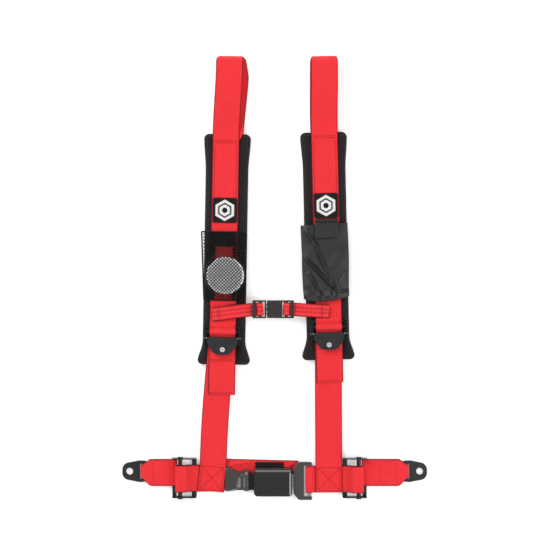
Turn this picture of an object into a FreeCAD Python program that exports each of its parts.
import FreeCAD, Part
import math
import os
from types import SimpleNamespace

# Four-point racing harness for an off-road buggy or kart, lying face up on a table.
# Frame: +X across the harness towards the tongue's side, +Y up the shoulder belts and
# +Z away from the table. The origin is on the table, under the middle of the harness.

Vector = FreeCAD.Vector
doc = FreeCAD.newDocument("racing_harness")

# ---------------------------------------------------------------------------------------
# Driving dimensions, in millimetres and degrees
# ---------------------------------------------------------------------------------------

DIMENSIONS = [
    ("belt_width", 50.8, "two inch harness webbing"),
    ("belt_thick", 1.5, "webbing thickness"),
    ("layer_gap", 0.45, "air between two layers of webbing"),
    ("sternum_width", 25.4, "one inch sternum webbing"),
    ("pad_thick", 12.0, "shoulder pad with its backing"),
    ("pad_backing", 1.5, "mesh backing under the foam"),
    ("pad_width", 78.0, "shoulder pad across its middle"),
    ("pad_top_width", 86.0, "shoulder pad across its top"),
    ("pad_foot_width", 97.0, "shoulder pad across its foot"),
    ("pad_foot", -163.0, "lower end of the pad"),
    ("loop_height", 27.0, "height of the belt loop for the harness bar"),
    ("label_width", 46.0, "sewn patch, across"),
    ("label_length", 48.0, "sewn patch, along the belt"),
    ("label_thick", 1.2, "sewn patch"),
    ("frame_sheet", 2.2, "pressed steel of the adjuster frames"),
    ("base_sheet", 2.4, "thickness of the adjuster base plates"),
    ("shoulder_frame_width", 67.4, "shoulder adjuster across its flanges"),
    ("shoulder_frame_length", 38.0, "shoulder adjuster along the belt"),
    ("bar_radius", 4.0, "round bar that the webbing rolls over"),
    ("pin_radius", 1.6, "lever hinge pin"),
    ("lever_width", 57.0, "cam lever across the belt"),
    ("lever_thick", 2.6, "cam lever plate"),
    ("lap_frame_width", 75.0, "lap adjuster across its flanges"),
    ("lap_frame_length", 46.0, "lap adjuster along the belt"),
    ("tab_thick", 2.8, "steel of the end tabs"),
    ("tab_width", 41.0, "end tab across its slot"),
    ("tab_hole_radius", 6.5, "bolt hole of the end tab"),
    ("bag_wall", 1.2, "cloth of the pockets"),
    ("mesh_bag_width", 85.0, "mesh pocket, across"),
    ("mesh_bag_length", 129.0, "mesh pocket, along the belt"),
    ("mesh_bag_height", 24.0, "mesh pocket, filled by the tin"),
    ("nylon_bag_width", 90.0, "nylon pocket, across"),
    ("nylon_bag_length", 142.0, "nylon pocket, along the belt"),
    ("nylon_bag_height", 8.6, "nylon pocket, empty"),
    ("tin_radius", 35.0, "lid of the round tin"),
    ("tin_height", 20.0, "round tin, closed"),
    ("clip_width", 34.0, "side release buckle, across"),
    ("clip_height", 11.0, "side release buckle, thickness"),
    ("buckle_length", 72.3, "latch buckle along the lap belt"),
    ("buckle_width", 53.0, "latch buckle across the lap belt"),
    ("buckle_wall", 2.0, "plastic of the latch buckle"),
    ("tongue_thick", 2.4, "steel of the tongue and buckle frame"),
    ("tongue_width", 25.0, "tongue blade"),
    ("grip_width", 71.6, "plastic grip of the tongue"),
    ("left_yaw", -1.0, "left shoulder belt about the table normal"),
    ("right_yaw", 1.3, "right shoulder belt about the table normal"),
    ("left_lower_yaw", -5.2, "left lower belt"),
    ("right_lower_yaw", 0.3, "right lower belt"),
]


def make_sheet():
    """Put every driving dimension in a spreadsheet row and return their values by name."""
    sheet = doc.addObject("Spreadsheet::Sheet", "Sizes")
    values = {}
    for row, (alias, value, meaning) in enumerate(DIMENSIONS, start=1):
        sheet.set(f"A{row}", meaning)
        sheet.set(f"B{row}", str(value))
        sheet.setAlias(f"B{row}", alias)
        values[alias] = value
    doc.recompute()
    return SimpleNamespace(**values)


size = make_sheet()
NAMES = sorted((row[0] for row in DIMENSIONS), key=len, reverse=True)


def bind(feature, prop, amount):
    """Set one property: a text is an expression of sheet names, a number is used as it is."""
    if isinstance(amount, str):
        words = amount.split()
        linked = ["Sizes." + word if word in NAMES else word for word in words]
        feature.setExpression(prop, " ".join(linked))
    else:
        setattr(feature, prop, amount)


# ---------------------------------------------------------------------------------------
# Outlines: straight runs joined by tangent arcs
# ---------------------------------------------------------------------------------------

TINY = 1e-6  # a run shorter than this is left out


def corner(before, at, after, radius):
    """Start, middle and end of the arc that rounds one corner, and the arc's centre."""
    back = (before - at).normalize()
    ahead = (after - at).normalize()
    half = back.getAngle(ahead) / 2
    reach = radius / math.tan(half)
    centre = at + (back + ahead).normalize() * (radius / math.sin(half))
    start = at + back * reach
    end = at + ahead * reach
    middle = centre + (at - centre).normalize() * radius
    return start, middle, end, centre


def across(one, other):
    """Unit vector square to the run from one point to the other, on its left."""
    run = (other - one).normalize()
    return Vector(-run.y, run.x, 0)


def one_side(points, radii, shift):
    """Curves parallel to a rounded path, shifted sideways by the same distance all along."""
    curves = []
    last = points[0] + across(points[0], points[1]) * shift
    for before, at, after, radius in zip(points, points[1:], points[2:], radii):
        start, middle, end, centre = corner(before, at, after, radius)
        start = start + across(before, at) * shift
        end = end + across(at, after) * shift
        middle = centre + (middle - centre).normalize() * (start - centre).Length
        if (start - last).Length > TINY:
            curves.append(Part.LineSegment(last, start))
        curves.append(Part.Arc(start, middle, end))
        last = end
    finish = points[-1] + across(points[-2], points[-1]) * shift
    curves.append(Part.LineSegment(last, finish))
    return curves


def ribbon(route, thickness):
    """Closed outline of a strip of webbing seen from its edge.

    route is a list of (along, up, radius): the middle line of the strip, with the radius that
    rounds it there. The first and last radius are not used.
    """
    points = [Vector(along, up, 0) for along, up, _ in route]
    radii = [radius for _, _, radius in route[1:-1]]
    left = one_side(points, radii, thickness / 2)
    right = one_side(points, radii, -thickness / 2)
    caps = [
        Part.LineSegment(left[0].StartPoint, right[0].StartPoint),
        Part.LineSegment(left[-1].EndPoint, right[-1].EndPoint),
    ]
    return left + right + caps


def outline(corners):
    """Closed outline through (x, y, radius) corners. A radius of 0 leaves a sharp corner."""
    points = [Vector(x, y, 0) for x, y, _ in corners]
    count = len(points)
    ends = []
    arcs = []
    for i, (_, _, radius) in enumerate(corners):
        at = points[i]
        if radius:
            start, middle, end, _ = corner(points[i - 1], at, points[(i + 1) % count], radius)
            arcs.append(Part.Arc(start, middle, end))
            ends.append((start, end))
        else:
            ends.append((at, at))
    pairs = [(ends[i][1], ends[(i + 1) % count][0]) for i in range(count)]
    runs = [Part.LineSegment(a, b) for a, b in pairs if (b - a).Length > TINY]
    return runs + arcs


def box_outline(x0, x1, y0, y1, radius=0):
    """Rectangle between two corners, rounded if a radius is given."""
    return outline([(x0, y0, radius), (x1, y0, radius), (x1, y1, radius), (x0, y1, radius)])


def circle(x, y, radius):
    """A full circle in a sketch."""
    return [Part.Circle(Vector(x, y, 0), Vector(0, 0, 1), radius)]


def hexagon(x, y, reach):
    """Six-sided outline with a flat across its top."""
    turns = [math.radians(60 * i) for i in range(6)]
    return outline([(x + reach * math.cos(a), y + reach * math.sin(a), 0) for a in turns])


# ---------------------------------------------------------------------------------------
# Part design features
# ---------------------------------------------------------------------------------------

bodies = []


def body(label):
    """A new body, which becomes one sub-part of the harness."""
    made = doc.addObject("PartDesign::Body", label)
    made.Label = label
    bodies.append(made)
    return made


def place(made, x=0.0, y=0.0, z=0.0, yaw=0.0):
    """Stand a body in the harness, turned about the table normal."""
    made.Placement = FreeCAD.Placement(Vector(x, y, z), FreeCAD.Rotation(yaw, 0, 0))


def sketch(made, plane, curves, offset=0.0):
    """A sketch on one of the body's own origin planes, moved along that plane's normal."""
    drawn = made.newObject("Sketcher::SketchObject", "Sketch")
    support = [item for item in made.Origin.OriginFeatures if item.Role == plane][0]
    drawn.AttachmentSupport = (support, [""])
    drawn.MapMode = "FlatFace"
    drawn.AttachmentOffset = FreeCAD.Placement(Vector(0, 0, offset), FreeCAD.Rotation())
    drawn.addGeometry(curves, False)
    return drawn


def pad(made, plane, curves, length, offset=0.0, symmetric=True):
    """Extrude an outline, to both sides of its plane unless told otherwise."""
    grown = made.newObject("PartDesign::Pad", "Pad")
    grown.Profile = sketch(made, plane, curves, offset)
    grown.SideType = "Symmetric" if symmetric else "One side"
    bind(grown, "Length", length)
    doc.recompute()
    return grown


def pocket(made, plane, curves, length, offset=0.0):
    """Cut an outline away, to both sides of its plane, and make sure that it cuts."""
    before = made.Shape.Volume
    sunk = made.newObject("PartDesign::Pocket", "Pocket")
    sunk.Profile = sketch(made, plane, curves, offset)
    sunk.SideType = "Symmetric"
    bind(sunk, "Length", length)
    doc.recompute()
    if made.Shape.Volume >= before:
        raise ValueError(f"a pocket of {made.Label} cuts nothing")
    return sunk


def block(made, x, y, z, cut=False):
    """Add or cut a plain block between two corners."""
    kind = "PartDesign::SubtractiveBox" if cut else "PartDesign::AdditiveBox"
    solid = made.newObject(kind, "Block")
    solid.Placement = FreeCAD.Placement(Vector(x[0], y[0], z[0]), FreeCAD.Rotation())
    solid.Length = x[1] - x[0]
    solid.Width = y[1] - y[0]
    solid.Height = z[1] - z[0]
    doc.recompute()
    return solid


def round_edges(made, radius, chosen):
    """Round the edges whose middle point passes a test."""
    base = made.Tip
    names = []
    for number, edge in enumerate(base.Shape.Edges, start=1):
        middle = edge.valueAt((edge.FirstParameter + edge.LastParameter) / 2)
        if chosen(middle, edge):
            names.append(f"Edge{number}")
    rounded = made.newObject("PartDesign::Fillet", "Fillet")
    rounded.Base = (base, names)
    bind(rounded, "Radius", radius)
    doc.recompute()
    return rounded


def turned(made, profile, axis="Y"):
    """A solid of revolution about the body's own Y or Z axis, from a half outline."""
    plane, shaft = {"Y": ("XY_Plane", "V_Axis"), "Z": ("XZ_Plane", "V_Axis")}[axis]
    drawn = sketch(made, plane, profile)
    spun = made.newObject("PartDesign::Revolution", "Revolution")
    spun.Profile = drawn
    spun.ReferenceAxis = (drawn, [shaft])
    spun.Angle = 360
    doc.recompute()
    return spun


def stepped(lengths):
    """Half outline of a stepped shaft along the Y axis: (length, radius) from one end."""
    total = sum(length for length, _ in lengths)
    at = -total / 2
    corners = [(0, at, 0)]
    for length, radius in lengths:
        corners.append((radius, at, 0))
        at += length
        corners.append((radius, at, 0))
    corners.append((0, at, 0))
    return outline(corners)


# ---------------------------------------------------------------------------------------
# Heights above the table, worked out from the driving dimensions
# ---------------------------------------------------------------------------------------

half_belt = size.belt_thick / 2
step = size.belt_thick + size.layer_gap
on_pad = size.pad_thick + 0.4 + half_belt  # middle of the belt that lies on the pad
patch_z = size.pad_thick + 2.2  # underside of what lies on that belt

# shoulder adjuster, along the belt from its upper to its lower end
frame_top = -89.0
frame_foot = frame_top - size.shoulder_frame_length
base_z = on_pad + half_belt + 0.5
base_top = base_z + size.base_sheet
loop_z = base_top + 0.4 + half_belt  # lower belt over the frame's lower crossbar
tail_z = loop_z + step + 0.05  # free tail over that
bar_y = frame_top - 12.0
bar_z = base_top + 5.7
pin_y = frame_top - 24.5
pin_z = tail_z + half_belt + 0.4 + 2.5
flange_top = base_z + 15.5

# lap adjuster and lap belts
lap_base = 2.2
lap_base_top = lap_base + size.base_sheet
low_z = 0.2 + half_belt
lap_z = lap_base_top + 0.55 + half_belt
lap_bar_z = 14.0
roll_reach = size.bar_radius + 0.3 + half_belt
lap_frame_y = -378.0
outer_y = -369.0
tab_y = -366.5
junction_z = lap_z + step

# latch buckle
buckle_y = -386.0
tongue_y = -384.0
buckle_x = -42.8
buckle_end = buckle_x + size.buckle_length
plate_z = 5.2  # underside of the buckle's steel frame
tongue_z = plate_z + size.tongue_thick + 0.6  # underside of the tongue
case_foot = 2.0
case_split = 9.0
case_top = 22.0

SIDES = {
    "left": SimpleNamespace(
        x=-100.0, y=0.0, yaw=size.left_yaw, loop=420.0, tail=-221.0, pad_x=2.5,
        lower_x=-103.5, lower_yaw=size.left_lower_yaw, lap_x=-174.5, turn=180.0, tip=82.5,
        lap_y=-379.5, pad_top=272.0,
    ),
    "right": SimpleNamespace(
        x=96.5, y=9.0, yaw=size.right_yaw, loop=411.0, tail=-206.5, pad_x=-1.5,
        lower_x=97.8, lower_yaw=size.right_lower_yaw, lap_x=148.0, turn=0.0, tip=102.0,
        lap_y=-381.0, pad_top=266.5,
    ),
}

# ---------------------------------------------------------------------------------------
# Shoulder side: pad, belts, patch and adjuster
# ---------------------------------------------------------------------------------------


def pad_outline(upper):
    """Long pad that widens a little at its top and more at its foot."""
    mid = size.pad_width / 2
    top = size.pad_top_width / 2
    foot = size.pad_foot_width / 2
    right = [
        (foot, size.pad_foot, 10), (foot, size.pad_foot + 12, 6), (mid, size.pad_foot + 45, 60),
        (mid, upper - 60, 60), (top, upper - 10, 8), (top - 8, upper, 8),
    ]
    left = [(-x, y, radius) for x, y, radius in reversed(right)]
    return outline(right + left)


def make_pad(name, side):
    """Foam pad and the mesh backing that carries it."""
    backing = body(f"{name}_pad_backing")
    pad(backing, "XY_Plane", pad_outline(side.pad_top), "pad_backing", symmetric=False)
    place(backing, side.x + side.pad_x, side.y, 0, side.yaw)
    cushion = body(f"{name}_pad")
    foam_foot = size.pad_backing + 0.1
    foam = pad_outline(side.pad_top)
    pad(cushion, "XY_Plane", foam, "pad_thick - pad_backing - 0.1", foam_foot, False)
    top = size.pad_thick - 0.01
    round_edges(cushion, 4.0, lambda middle, edge: middle.z > top)
    place(cushion, side.x + side.pad_x, side.y, 0, side.yaw)


def make_shoulder_belt(name, side):
    """One length of webbing: free tail, roll over the adjuster bar, pad, loop and sewn end."""
    seam = 256.0
    head = side.loop - half_belt
    roll = size.bar_radius + 0.3 + half_belt
    loop_low = 0.2 + half_belt
    loop_high = size.loop_height
    turn = (loop_high - loop_low) / 2
    slope = 0.1057  # fall of the belts below the pad, per millimetre
    low_tail = on_pad + 2 * step + (side.tail + 166.0) * slope
    route = [
        (side.tail, low_tail, 0),
        (-166, on_pad + 2 * step, 40),
        (-143, on_pad + 2 * step, 12),
        (-133, tail_z, 12),
        (bar_y - roll, tail_z, 2.0),
        (bar_y - roll, bar_z + roll, roll),
        (bar_y + roll, bar_z + roll, roll),
        (bar_y + roll, base_top + 1.2, 2.0),
        (frame_top + 2, base_top + 1.2, 4),
        (frame_top + 8, on_pad, 5),
        (seam - 12, on_pad, 20),
        (seam + 2, on_pad + step, 20),
        (292, on_pad + step, 50),
        (350, loop_high, 60),
        (head, loop_high, turn),
        (head, loop_low, turn),
        (302, loop_low, 14),
        (276, on_pad, 10),
        (seam + 2, on_pad, 0),
    ]
    belt = body(f"{name}_shoulder_belt")
    pad(belt, "YZ_Plane", ribbon(route, size.belt_thick), "belt_width")
    place(belt, side.x, side.y, 0, side.yaw)


def make_label(name, side):
    """Sewn patch on the belt."""
    label = body(f"{name}_label")
    across_half = size.label_width / 2
    middle = 128.0
    reach = size.label_length / 2
    shape = box_outline(-across_half, across_half, middle - reach, middle + reach, 3)
    pad(label, "XY_Plane", shape, "label_thick", patch_z, False)
    place(label, side.x, side.y, 0, side.yaw)


def channel(made, width, foot, base_top_z, top, y_low, y_high, plane):
    """U-shaped channel: base plate with a flange along each edge."""
    half = width / 2
    inner = half - size.frame_sheet
    shape = outline([
        (-half, foot, 2), (half, foot, 2), (half, top, 0), (inner, top, 0),
        (inner, base_top_z, 0.8), (-inner, base_top_z, 0.8), (-inner, top, 0), (-half, top, 0),
    ])
    pad(made, plane, shape, y_high - y_low, -(y_low + y_high) / 2)


def make_shoulder_adjuster(name, side):
    """Steel channel with a fixed round bar, and a cam lever on a hinge pin."""
    frame = body(f"{name}_adjuster_frame")
    channel(
        frame, size.shoulder_frame_width, base_z, base_top, flange_top,
        frame_foot, frame_top, "XZ_Plane",
    )
    pocket(frame, "XY_Plane", box_outline(-29, 29, frame_foot + 8, frame_top - 5, 3), 60)
    holes = circle(bar_y, bar_z, size.bar_radius) + circle(pin_y, pin_z, size.pin_radius)
    pocket(frame, "YZ_Plane", holes, 90)
    upper = flange_top - 0.01
    round_edges(frame, 4.0, lambda m, e: e.Length < 3 and m.z > upper)
    place(frame, side.x, side.y, 0, side.yaw)

    reach = size.shoulder_frame_width / 2
    bar = body(f"{name}_adjuster_bar")
    pad(bar, "YZ_Plane", circle(bar_y, bar_z, size.bar_radius), 2 * reach + 2.4)
    place(bar, side.x, side.y, 0, side.yaw)
    pin = body(f"{name}_adjuster_pin")
    pad(pin, "YZ_Plane", circle(pin_y, pin_z, size.pin_radius), 2 * reach + 3.0)
    place(pin, side.x, side.y, 0, side.yaw)

    lever = body(f"{name}_adjuster_lever")
    half = size.lever_width / 2
    top_edge = pin_y + 1.0
    tip = pin_y - 31.0
    plate = outline([
        (-half, top_edge, 2), (-half, top_edge - 11, 4), (-15, tip, 16),
        (15, tip, 16), (half, top_edge - 11, 4), (half, top_edge, 2),
    ])
    plate_foot = pin_z + 0.3
    plate_top = plate_foot + size.lever_thick
    pad(lever, "XY_Plane", plate, "lever_thick", plate_foot, False)
    barrel = outline([
        (pin_y - 4.5, plate_foot + 1, 0), (pin_y - 2.4, pin_z - 2.4, 2),
        (pin_y + 2.4, pin_z - 2.4, 2), (pin_y + 2.4, pin_z + 2.4, 2), (pin_y - 4.5, pin_z + 2.4, 0),
    ])
    pad(lever, "YZ_Plane", barrel, 2 * half)
    groove = box_outline(-half + 4, half - 4, pin_y - 8.6, pin_y - 6.8, 0.8)
    pocket(lever, "XY_Plane", groove, 1.6, plate_top)
    pocket(lever, "YZ_Plane", circle(pin_y, pin_z, size.pin_radius + 0.05), 90)
    nut = hexagon(0, tip + 8.5, 6.5) + circle(0, tip + 8.5, 3.2)
    pad(lever, "XY_Plane", nut, 0.8, plate_top - 0.1, False)
    place(lever, side.x, side.y, 0, side.yaw)


def make_lower_belt(name, side):
    """Webbing from the adjuster's lower crossbar down to the lap belt, where it is sewn."""
    bar = frame_foot + 8.0
    inside = bar + 2.6 + half_belt  # room for the belt to slant in the frame
    turn = (loop_z - on_pad) / 2
    foot = side.lap_y - size.belt_width / 2 - side.y
    route = [
        (-160, on_pad, 0),
        (inside, on_pad, turn),
        (inside, loop_z, turn),
        (-131, loop_z, 8),
        (-140, on_pad + step, 8),
        (-165, on_pad + step, 30),
        (-235, junction_z, 60),
        (foot, junction_z, 0),
    ]
    local = [(y - bar, z, radius) for y, z, radius in route]
    belt = body(f"{name}_lower_belt")
    pad(belt, "YZ_Plane", ribbon(local, size.belt_thick), "belt_width")
    place(belt, side.lower_x, side.y + bar, 0, side.lower_yaw)


# ---------------------------------------------------------------------------------------
# Pockets on the pads and the round tin in the left one
# ---------------------------------------------------------------------------------------


def make_bag(label, width, length, height, y_top, side, shift, shoulder):
    """Flat pocket, open at its upper end, with a back panel that is sewn to the pad."""
    half = width / 2
    wall = size.bag_wall
    foot = patch_z + 0.1
    top = foot + height
    bag = body(label)
    outer = outline([
        (-half, foot, 0), (half, foot, 0), (half, top, shoulder), (-half, top, shoulder),
    ])
    pad(bag, "XZ_Plane", outer, length, -(y_top - length / 2))
    inner = outline([
        (-half + wall, foot + wall, 0), (half - wall, foot + wall, 0),
        (half - wall, top - wall, shoulder - wall), (-half + wall, top - wall, shoulder - wall),
    ])
    pocket(bag, "XZ_Plane", inner, length, -(y_top - length / 2 + wall))
    place(bag, side.x + shift, side.y, 0, side.yaw)
    return foot + wall


def make_left_pocket(side):
    """Mesh pocket, the fastener patch inside its mouth and the round tin that it holds."""
    floor = make_bag(
        "mesh_pocket", size.mesh_bag_width, size.mesh_bag_length, size.mesh_bag_height,
        87.0, side, 0.5, 8.0,
    )
    patch = body("mesh_pocket_patch")
    pad(patch, "XY_Plane", box_outline(-20, 20, 60, 86, 2), 1.0, floor + 0.1, False)
    place(patch, side.x, side.y, 0, side.yaw)

    centre_x = 3.5
    centre_y = 5.0
    base_radius = size.tin_radius - 1.5
    foot = floor + 0.2
    lid_foot = foot + size.tin_height - 8.0
    lid_top = foot + size.tin_height
    base = body("round_tin_base")
    wall = 0.6
    turned(base, outline([
        (0, foot, 0), (base_radius, foot, 1), (base_radius, lid_foot - 0.3, 0),
        (base_radius - wall, lid_foot - 0.3, 0), (base_radius - wall, foot + wall, 0),
        (0, foot + wall, 0),
    ]), "Z")
    place(base, side.x + centre_x, centre_y, 0, side.yaw)
    lid = body("round_tin_lid")
    rim = size.tin_radius
    turned(lid, outline([
        (rim, lid_foot, 0), (rim, lid_top, 1.2), (rim - 5, lid_top, 0), (rim - 6.2, lid_top - 0.8, 0),
        (0, lid_top - 0.8, 0), (0, lid_top - 1.6, 0), (rim - 1, lid_top - 1.6, 0), (rim - 1, lid_foot, 0),
    ]), "Z")
    place(lid, side.x + centre_x, centre_y, 0, side.yaw)


def make_right_pocket(side):
    """Nylon pocket with a fastener tab that comes from under the patch."""
    y_top = 93.0
    make_bag(
        "nylon_pocket", size.nylon_bag_width, size.nylon_bag_length, size.nylon_bag_height,
        y_top, side, -4.0, 4.0,
    )
    over = patch_z + 0.1 + size.nylon_bag_height + 0.5
    root = patch_z + 0.3
    thick = 1.4
    route = [
        (103, root + thick / 2, 0), (97.5, root + thick / 2 + 0.2, 2), (95, over + thick / 2, 2),
        (67, over + thick / 2, 0),
    ]
    tab = body("nylon_pocket_tab")
    pad(tab, "YZ_Plane", ribbon(route, thick), 44.0)
    place(tab, side.x, side.y, 0, side.yaw)


# ---------------------------------------------------------------------------------------
# Lap side: adjuster, belts and end tab. Here +X points outwards from the adjuster's middle
# ---------------------------------------------------------------------------------------

bar_x = 7.5
outer_bar = (15.5, size.lap_frame_length / 2)


def make_lap_adjuster(name, side):
    """Steel channel with a lock bar that slides in slots in the two flanges."""
    half_length = size.lap_frame_length / 2
    frame = body(f"{name}_lap_frame")
    channel(
        frame, size.lap_frame_width, lap_base, lap_base_top, 21.0,
        -half_length, half_length, "XZ_Plane",
    )
    pocket(frame, "XY_Plane", box_outline(-35, 35, -14.0, outer_bar[0], 1), 30)
    slot_low = bar_x - size.bar_radius - 0.3
    slot_high = bar_x + size.bar_radius + 3.8
    reach = size.bar_radius + 0.3
    slot = box_outline(slot_low, slot_high, lap_bar_z - reach, lap_bar_z + reach, reach - 0.05)
    pocket(frame, "YZ_Plane", slot, 90)
    round_edges(frame, 4.0, lambda m, e: e.Length < 3 and m.z > 20.9)
    frame.Placement = FreeCAD.Placement(
        Vector(side.lap_x, lap_frame_y, 0), FreeCAD.Rotation(side.turn - 90, 0, 0)
    )

    bar = body(f"{name}_lap_lock_bar")
    shank = size.lap_frame_width + 0.8
    turned(bar, stepped([(1.8, 5.2), (shank, size.bar_radius), (1.8, 5.2)]))
    offset = bar_x if side.turn == 0 else -bar_x
    place(bar, side.lap_x + offset, lap_frame_y, lap_bar_z)


def make_inner_belt(name, side, buckle_end_route):
    """Webbing from the buckle side, rolled over the lock bar, with its tail folded under."""
    far = bar_x + size.bar_radius + 4.05 + half_belt
    route = [
        (-56.5, low_z, 0),
        (-6.5, low_z, 2.5),
        (-0.5, lap_bar_z - roll_reach, 2.5),
        (far, lap_bar_z - roll_reach, roll_reach),
        (far, lap_bar_z + roll_reach, roll_reach),
        (-2.5, lap_bar_z + roll_reach, 6),
        (-11.5, lap_z, 4),
    ]
    belt = body(f"{name}_lap_belt")
    pad(belt, "XZ_Plane", ribbon(route + buckle_end_route, size.belt_thick), "belt_width")
    place(belt, side.lap_x, side.lap_y, 0, side.turn)
    return belt


def narrow_in_boot(belt):
    """Trim both edges of the left lap belt, which is folded narrow inside the boot."""
    upper = outline([
        (-72, -27, 0), (-72, -25.5, 0), (-78, -21.5, 0), (-98, -7.3, 0), (-106, -7.3, 0), (-106, -27, 0),
    ])
    lower = outline([
        (-72, 27, 0), (-72, 25.5, 0), (-78, 23.3, 0), (-98, 20.4, 0), (-106, 20.4, 0), (-106, 27, 0),
    ])
    for edge in (upper, lower):
        pocket(belt, "XY_Plane", edge, 60)


def make_outer_belt(name, side):
    """Closed loop of webbing from the adjuster's outer crossbar to the end tab's slot."""
    near = outer_bar[0] - 0.4 - size.belt_thick
    outer = box_outline(near, side.tip, 0.2, 0.2 + lap_z + half_belt - 0.2, 2.7)
    foot = 0.2 + size.belt_thick
    top = lap_z - half_belt
    hollow = box_outline(near + size.belt_thick, side.tip - size.belt_thick, foot, top, 1.5)
    belt = body(f"{name}_outer_belt")
    pad(belt, "XZ_Plane", outer + hollow, "belt_width")
    half = size.belt_width / 2
    narrow = 12.5
    offset = tab_y - outer_y if side.turn == 0 else outer_y - tab_y
    for way in (-1, 1):
        bevel = outline([
            (side.tip - 17, way * (half + 1), 0), (side.tip - 1.5, way * narrow + offset, 0),
            (side.tip + 5, way * narrow + offset, 0), (side.tip + 5, way * (half + 1), 0),
        ])
        pocket(belt, "XY_Plane", bevel, 60)
    place(belt, side.lap_x, outer_y, 0, side.turn)


def make_end_tab(name, side):
    """Teardrop steel tab: a slot for the webbing and a bolt hole at its round end."""
    inner = side.tip - 12.5
    hole = side.tip + 21.5
    wide = size.tab_width / 2
    tab = body(f"{name}_end_tab")
    shape = outline([
        (inner, -wide + 1, 6), (side.tip + 3, -wide, 14), (hole + 13.9, -14.2, 13.4),
        (hole + 13.9, 14.2, 13.4), (side.tip + 3, wide, 14), (inner, wide - 1, 6),
    ])
    pad(tab, "XY_Plane", shape, "tab_thick", 2.0, False)
    pocket(tab, "XY_Plane", circle(hole, 0, size.tab_hole_radius), 30)
    pocket(tab, "XY_Plane", box_outline(side.tip - 2.1, side.tip + 1.6, -14, 14, 1.6), 30)
    place(tab, side.lap_x, tab_y, 0, side.turn)


# ---------------------------------------------------------------------------------------
# Sternum strap. Here +X points outwards from the inner end of each ladder frame
# ---------------------------------------------------------------------------------------

clip_z = 12.0
clip_y = -59.0
LADDER = {"inner": (0.0, 3.0), "middle": (8.5, 14.5), "outer": (19.5, 26.0)}
STERNUM = {
    "left": SimpleNamespace(x=-19.5, turn=180.0, yaw=184.5, sewn=74.0, tail=103.0, rise=0.0),
    "right": SimpleNamespace(x=7.0, turn=0.0, yaw=-3.5, sewn=60.5, tail=92.5, rise=0.45),
}


def make_sternum_belt(name, strap):
    """One inch webbing: sewn end on the shoulder belt, ladder lock, free tail on top."""
    under = clip_z - 3.1
    over = clip_z + 2.6
    squeeze = clip_z - 0.7
    sewn = on_pad + step
    loose = sewn + 2.8
    route = [
        (strap.sewn, sewn, 0), (39, sewn, 12), (27.5, under, 12),
        (5.9, under, 2.2), (5.9, over, 2.2), (15.6, over, 2.0),
        (18.6, squeeze, 2.0), (27, squeeze, 10), (38.5, loose, 12), (strap.tail, loose, 0),
    ]
    belt = body(f"{name}_sternum_belt")
    pad(belt, "XZ_Plane", ribbon(route, 1.3), "sternum_width")
    swing = math.radians(strap.yaw - strap.turn)
    pivot = 13.0 if strap.turn == 0 else -13.0
    x = strap.x + pivot * (1 - math.cos(swing))
    y = clip_y + strap.rise - pivot * math.sin(swing)
    place(belt, x, y, 0, strap.yaw)


def ladder(made, sign, start):
    """Three crossbars between two side rails, drawn from the inner end outwards."""
    half = size.clip_width / 2
    rail = half - 3.2
    inner, middle, outer = LADDER["inner"], LADDER["middle"], LADDER["outer"]

    def span(low, high):
        ends = (start + sign * low, start + sign * high)
        return min(ends), max(ends)

    for way in (-1, 1):
        block(made, span(0, outer[1]), tuple(sorted((way * rail, way * half))), (9.4, 15.6))
    block(made, span(*inner), (-rail, rail), (9.4, 15.0))
    block(made, span(*middle), (-rail, rail), (9.9, 13.5))
    block(made, span(*outer), (-rail, rail), (12.6, 16.2))


def make_sternum_clip():
    """Side release buckle: plug with two prongs on the left, socket on the right."""
    plug = body("sternum_plug")
    ladder(plug, -1, 0.0)
    block(plug, (-0.5, 21.0), (-2.0, 2.0), (9.6, 14.4))
    place(plug, STERNUM["left"].x, clip_y, 0)

    for name, way in (("upper", 1), ("lower", -1)):
        prong = body(f"sternum_prong_{name}")
        shape = outline([
            (0.4, way * 7.0, 0), (15.5, way * 7.0, 0), (16.0, way * 9.0, 0), (14.5, way * 13.5, 1.5),
            (7.5, way * 16.0, 1.0), (5.5, way * 10.5, 0), (0.4, way * 10.5, 0),
        ])
        pad(prong, "XY_Plane", shape, 5.6, clip_z)
        place(prong, STERNUM["left"].x, clip_y, 0)

    socket = body("sternum_socket")
    half = size.clip_width / 2
    high = size.clip_height / 2
    back = -18.0 - STERNUM["right"].x
    shell = box_outline(-half, half, clip_z - high, clip_z + high, 3.5)
    pad(socket, "YZ_Plane", shell, 29.0, back + 14.5)
    block(socket, (back - 1, back + 24.5), (-half + 2.4, half - 2.4), (8.6, 15.4), cut=True)
    block(socket, (back + 2.6, back + 14.5), (-half - 1, half + 1), (8.6, 15.4), cut=True)
    ladder(socket, 1, 0.0)
    place(socket, STERNUM["right"].x, clip_y, 0)


# ---------------------------------------------------------------------------------------
# Latch buckle, its boot and backing, and the tongue
# ---------------------------------------------------------------------------------------

latch_pin_x = -20.0
latch_pin_z = 12.2
leaf_end = 12.4
button_back = 17.5


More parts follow.
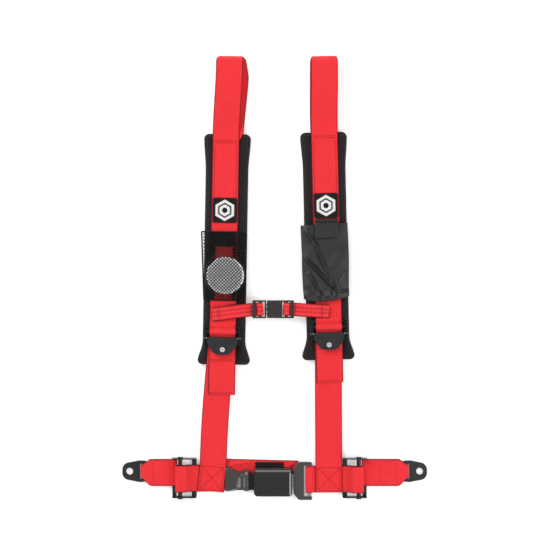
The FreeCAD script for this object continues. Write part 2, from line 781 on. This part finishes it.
def make_buckle_case():
    """Lower and upper plastic shells, with the two screws that join them."""
    half = size.buckle_width / 2
    wall = size.buckle_wall
    shape = box_outline(buckle_x, buckle_end, -half, half, 7)
    base = body("buckle_base")
    pad(base, "XY_Plane", shape, case_split - case_foot, case_foot, False)
    inside = box_outline(buckle_x + wall, buckle_end - wall, -half + wall, half - wall, 5)
    pocket(base, "XY_Plane", inside, 2 * (case_split - case_foot - 1.8), case_split)
    block(base, (buckle_x - 1, buckle_x + 3), (-17, 17), (plate_z - 0.3, case_split + 1), cut=True)
    block(base, (buckle_end - 3, buckle_end + 1), (-20, 20), (tongue_z - 0.4, 12), cut=True)
    screws_at = circle(-36.5, 19.5, 1.35) + circle(-36.5, -19.5, 1.35)
    pocket(base, "XY_Plane", screws_at, 8, case_foot)
    sunk = circle(-36.5, 19.5, 2.8) + circle(-36.5, -19.5, 2.8)
    pocket(base, "XY_Plane", sunk, 2.0, case_foot)
    round_edges(base, 1.5, lambda m, e: m.z < case_foot + 0.01 and e.Length > 20)
    place(base, 0, buckle_y, 0)

    cover = body("buckle_cover")
    pad(cover, "XY_Plane", shape, case_top - case_split - 0.1, case_split + 0.1, False)
    round_edges(cover, 3.0, lambda m, e: m.z > case_top - 0.01)
    pocket(cover, "XY_Plane", inside, 2 * (case_top - case_split - 0.1 - wall), case_split + 0.1)
    block(
        cover, (buckle_end - 6, buckle_end + 1), (-half + wall, half - wall),
        (case_split - 1, case_top - wall), cut=True,
    )
    block(cover, (-8, -6), (-half + 1, half - 1), (16.6, case_top - 1))
    for way in (-1, 1):
        pad(cover, "XY_Plane", circle(-36.5, way * 19.5, 3.0), 11.5, case_split + 0.2, False)
    pocket(cover, "XY_Plane", screws_at, 16, case_split + 0.1)
    place(cover, 0, buckle_y, 0)

    screws = body("buckle_screws")
    for way in (-1, 1):
        pad(screws, "XY_Plane", circle(-36.5, way * 19.5, 2.6), 0.9, case_foot + 0.05, False)
        pad(screws, "XY_Plane", circle(-36.5, way * 19.5, 1.3), 13.0, case_foot + 0.8, False)
    place(screws, 0, buckle_y, 0)


def make_buckle_works():
    """Steel frame with ears, latch leaf on its pin, button with two arms, and the ejector."""
    frame = body("buckle_frame")
    plan = outline([
        (-80, -15.8, 3), (-40, -15.8, 0), (-34, -22, 3), (24, -22, 3), (24, 22, 3), (-34, 22, 3),
        (-40, 15.8, 0), (-80, 15.8, 3),
    ])
    pad(frame, "XY_Plane", plan, "tongue_thick", plate_z, False)
    pocket(frame, "XY_Plane", box_outline(-75, -70, -14.2, 14.2, 2), 30)
    pocket(frame, "XY_Plane", circle(-36.5, 19.5, 3.3) + circle(-36.5, -19.5, 3.3), 30)
    for way in (-1, 1):
        ear = tuple(sorted((way * 14.0, way * 16.0)))
        block(frame, (-23, -17), ear, (plate_z + 1, 15.4))
    pocket(frame, "XZ_Plane", circle(latch_pin_x, latch_pin_z, 1.5), 60)
    place(frame, 0, buckle_y, 0)

    pin = body("latch_pin")
    pad(pin, "XZ_Plane", circle(latch_pin_x, latch_pin_z, 1.5), 35.0)
    place(pin, 0, buckle_y, 0)

    leaf = body("buckle_latch")
    side_view = outline([
        (latch_pin_x - 2.8, latch_pin_z - 1, 0), (leaf_end - 3.2, latch_pin_z - 1, 0),
        (leaf_end - 3.2, tongue_z + 0.3, 0), (leaf_end - 0.6, tongue_z + 1.2, 0),
        (leaf_end, latch_pin_z - 1, 0), (leaf_end, latch_pin_z + 1, 0),
        (latch_pin_x - 2.8, latch_pin_z + 1, 0),
    ])
    pad(leaf, "XZ_Plane", side_view, 10.0)
    pad(leaf, "XZ_Plane", circle(latch_pin_x, latch_pin_z, 2.8), 24.0)
    block(leaf, (-3, 0), (-19, 19), (latch_pin_z + 0.9, latch_pin_z + 3))
    pocket(leaf, "XZ_Plane", circle(latch_pin_x, latch_pin_z, 1.55), 60)
    place(leaf, 0, buckle_y, 0)

    button = body("buckle_button")
    block(button, (button_back, buckle_end), (-24.0, 24.0), (tongue_z + 3.0, case_top - 2.2))
    arm = outline([
        (-2, 11.2, 0), (button_back + 1, 11.2, 0), (button_back + 1, 15.2, 0), (4.5, 15.2, 0),
        (0, 12.8, 0), (-2, 12.8, 0),
    ])
    for way in (-1, 1):
        pad(button, "XZ_Plane", arm, 5.0, way * 15.5)
    round_edges(button, 1.0, lambda m, e: m.x > buckle_end - 0.01)
    place(button, 0, buckle_y, 0)

    springs = body("button_springs")
    for way in (-1, 1):
        ring = circle(way * 21.4, 17.4, 1.9) + circle(way * 21.4, 17.4, 1.2)
        pad(springs, "YZ_Plane", ring, 23.0, 5.8)
    place(springs, 0, buckle_y, 0)

    ejector = body("buckle_ejector")
    block(ejector, (0.5, 4.5), (-8, 8), (tongue_z - 0.3, tongue_z + size.tongue_thick - 0.2))
    place(ejector, 0, buckle_y, 0)
    spring = body("ejector_spring")
    pad(spring, "YZ_Plane", circle(0, 9.4, 1.2) + circle(0, 9.4, 0.7), 12.0, -5.8)
    place(spring, 0, buckle_y, 0)


def make_boot():
    """Tapered plastic boot over the webbing's end, with a collar at the buckle."""
    boot = body("buckle_boot")
    wall = 1.6
    foot = 1.0
    top = 13.5
    mouth = -98.0
    neck = -66.0
    end = -51.0
    low = -405.5 - buckle_y
    mouth_high = -355.0 - buckle_y
    neck_high = -367.0 - buckle_y

    def section(x, high, inset, radius):
        return sketch(
            boot, "YZ_Plane",
            box_outline(low + inset, high - inset, foot + inset, top - inset, radius), x,
        )

    outer = boot.newObject("PartDesign::AdditiveLoft", "Loft")
    outer.Profile = section(mouth, mouth_high, 0, 4)
    outer.Sections = [section(neck, neck_high, 0, 4)]
    doc.recompute()
    collar = box_outline(low - 0.6, neck_high + 2.0, foot, top + 1.2, 4)
    pad(boot, "YZ_Plane", collar, end - neck, (end + neck) / 2)
    inner = boot.newObject("PartDesign::SubtractiveLoft", "Loft")
    inner.Profile = section(mouth, mouth_high, wall, 2.4)
    inner.Sections = [section(neck, neck_high, wall, 2.4)]
    doc.recompute()
    tunnel = box_outline(low + wall, neck_high - wall, foot + wall, top - wall, 2.4)
    pocket(boot, "YZ_Plane", tunnel, end - neck + 2, (end + neck) / 2)
    place(boot, 0, buckle_y, 0)


def make_backing():
    """Flat strap behind the buckle, and the cloth sleeve that holds it there."""
    strap = body("backing_strap")
    half = size.belt_width / 2
    block(strap, (-97, 41), (-half, half), (0.0, 0.85))
    place(strap, 0, -371.0, 0, -1.5)
    sleeve = body("backing_sleeve")
    shape = box_outline(-380, -349.5, 1.3, 1.9, 0)
    pad(sleeve, "YZ_Plane", shape, 54.0, -13.5)


def make_tongue():
    """Steel tongue with a latch window and webbing slot, and its moulded grip."""
    half = size.tongue_width / 2
    wide = 33.5
    plan = outline([
        (5, -half, 4), (36, -half, 3), (40, -wide, 3), (66, -wide, 4),
        (66, wide, 4), (40, wide, 3), (36, half, 3), (5, half, 4),
    ])
    plate = body("tongue_plate")
    pad(plate, "XY_Plane", plan, "tongue_thick", tongue_z, False)
    pocket(plate, "XY_Plane", box_outline(8.6, 13.0, -7.5, 7.5, 1), 30)
    pocket(plate, "XY_Plane", box_outline(53, 58, -29.0, 29.0, 2), 30)
    place(plate, 0, tongue_y, 0)

    grip = body("tongue_grip")
    outer = size.grip_width / 2
    shape = outline([
        (32, -outer + 12, 6), (42, -outer, 6), (67.5, -outer, 3), (67.5, -29.5, 2), (52, -29.5, 3),
        (52, 29.5, 3), (67.5, 29.5, 2), (67.5, outer, 3), (42, outer, 6), (32, outer - 12, 6),
    ])
    middle = tongue_z + size.tongue_thick / 2
    pad(grip, "XY_Plane", shape, 9.4, middle)
    upper = middle + 4.69
    lower = middle - 4.69
    hollow = outline([
        (20, -half - 0.1, 0), (35.9, -half - 0.1, 3), (39.9, -wide - 0.1, 2.5), (66.1, -wide - 0.1, 0),
        (66.1, wide + 0.1, 0), (39.9, wide + 0.1, 2.5), (35.9, half + 0.1, 3), (20, half + 0.1, 0),
    ])
    pocket(grip, "XY_Plane", hollow, size.tongue_thick + 0.2, middle)
    round_edges(grip, 1.2, lambda m, e: m.z > upper or m.z < lower)
    place(grip, 0, tongue_y, 0)


# ---------------------------------------------------------------------------------------
# The whole harness
# ---------------------------------------------------------------------------------------


def check_and_write():
    """Stop on any failed feature or bad shape, then write one STEP file for each body."""
    doc.recompute()
    broken = [item for item in doc.Objects if set(item.State) & {"Invalid", "Error"}]
    failed = [(item.Name, [made.Label for made in item.InList]) for item in broken]
    if failed:
        raise ValueError(f"failed features: {failed}")
    os.makedirs("parts", exist_ok=True)
    for made in bodies:
        if made.Shape.isNull() or not made.Shape.isValid():
            raise ValueError(f"{made.Label} has no valid shape")
    for made in bodies:
        made.Shape.exportStep(f"parts/{made.Label}.step")
    print(f"{len(bodies)} sub-parts written")


for name, side in SIDES.items():
    make_pad(name, side)
    make_shoulder_belt(name, side)
    make_label(name, side)
    make_shoulder_adjuster(name, side)
    make_lower_belt(name, side)
    make_lap_adjuster(name, side)
    make_outer_belt(name, side)
    make_end_tab(name, side)
    make_sternum_belt(name, STERNUM[name])
make_left_pocket(SIDES["left"])
make_right_pocket(SIDES["right"])
front_left = plate_z + size.tongue_thick + 0.55 + half_belt
back_left = plate_z - 0.55 - half_belt
boot_belt = make_inner_belt("left", SIDES["left"], [
    (-77.5, lap_z, 8), (-85.0, front_left, 8), (-101.6, front_left, 2.4),
    (-101.6, back_left, 2.4), (-86.5, back_left, 0),
])
narrow_in_boot(boot_belt)
front_right = tongue_z + size.tongue_thick + 0.55 + half_belt
back_right = tongue_z - 0.55 - half_belt
make_inner_belt("right", SIDES["right"], [
    (-76.5, lap_z, 3), (-81.0, front_right, 4), (-92.5, front_right, 2.4),
    (-92.5, back_right, 2.4), (-80.0, back_right, 0),
])
make_sternum_clip()
make_buckle_case()
make_buckle_works()
make_boot()
make_backing()
make_tongue()
check_and_write()
